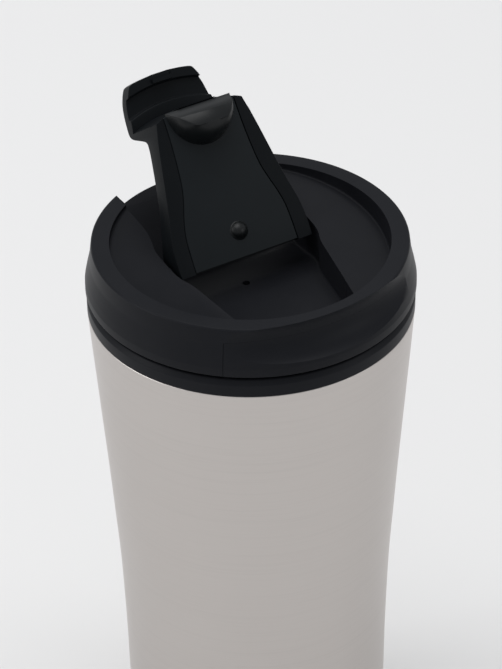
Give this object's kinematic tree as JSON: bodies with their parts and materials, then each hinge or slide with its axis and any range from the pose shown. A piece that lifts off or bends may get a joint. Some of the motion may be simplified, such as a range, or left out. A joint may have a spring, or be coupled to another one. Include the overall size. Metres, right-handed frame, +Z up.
{
  "type": "insulated travel mug",
  "caption": "Tapered insulated travel mug with a steel shell, a plastic cup, a screw lid with a drinking recess and a flip lever that plugs the drinking opening.",
  "frame": {"origin": "centre of the base pad's underside, on the table", "axes": "+Z up along the cup's axis, -Y towards the drinking side, +X to the right when seen from the drinking side"},
  "size_m": [0.085, 0.09, 0.1975],
  "materials": {
    "outer_shell": "fine lines around the body",
    "inner_liner": "satin",
    "collar_ring": "satin",
    "collar_seal": "soft matte",
    "insulation_sleeve": "foam",
    "base_cup": "satin",
    "base_seal": "soft matte",
    "base_pad": "soft matte",
    "lid_shell": "satin",
    "lid_plug": "satin",
    "lip_panel": "satin",
    "hinge_pin": "ground",
    "lid_gasket": "soft matte",
    "flip_lever": "satin",
    "lever_panel": "satin",
    "spout_stopper": "soft satin",
    "vent_stopper": "soft satin"
  },
  "bodies": {
    "mug": {"outer_shell": "outer_shell", "inner_liner": "inner_liner", "collar_ring": "collar_ring", "collar_seal": "collar_seal", "insulation_sleeve": "insulation_sleeve", "base_cup": "base_cup", "base_seal": "base_seal", "base_pad": "base_pad"},
    "lid_seal": {"lid_gasket": "lid_gasket"},
    "lid": {"lid_shell": "lid_shell", "lid_plug": "lid_plug", "lip_panel": "lip_panel", "hinge_pin": "hinge_pin"},
    "lever": {"flip_lever": "flip_lever", "lever_panel": "lever_panel", "spout_stopper": "spout_stopper", "vent_stopper": "vent_stopper"}
  },
  "joints": [
    {"name": "lid_lift", "type": "slide", "parent": "mug", "child": "lid_seal", "axis": [0, 0, 1], "range_m": [0, 0.018]},
    {"name": "lid_turn", "type": "hinge", "parent": "lid_seal", "child": "lid", "pos_m": [0, 0, 0.157], "axis": [0, 0, 1], "range_deg": [0, 540]},
    {"name": "lever_flip", "type": "hinge", "parent": "lid", "child": "lever", "pos_m": [0, 0.0071, 0.1617], "axis": [-1, 0, 0], "range_deg": [-128.7, 32]}
  ],
  "couplings": [
    {"joint": "lid_lift", "follows": "lid_turn", "m_per_rad": 0.0019099}
  ]
}
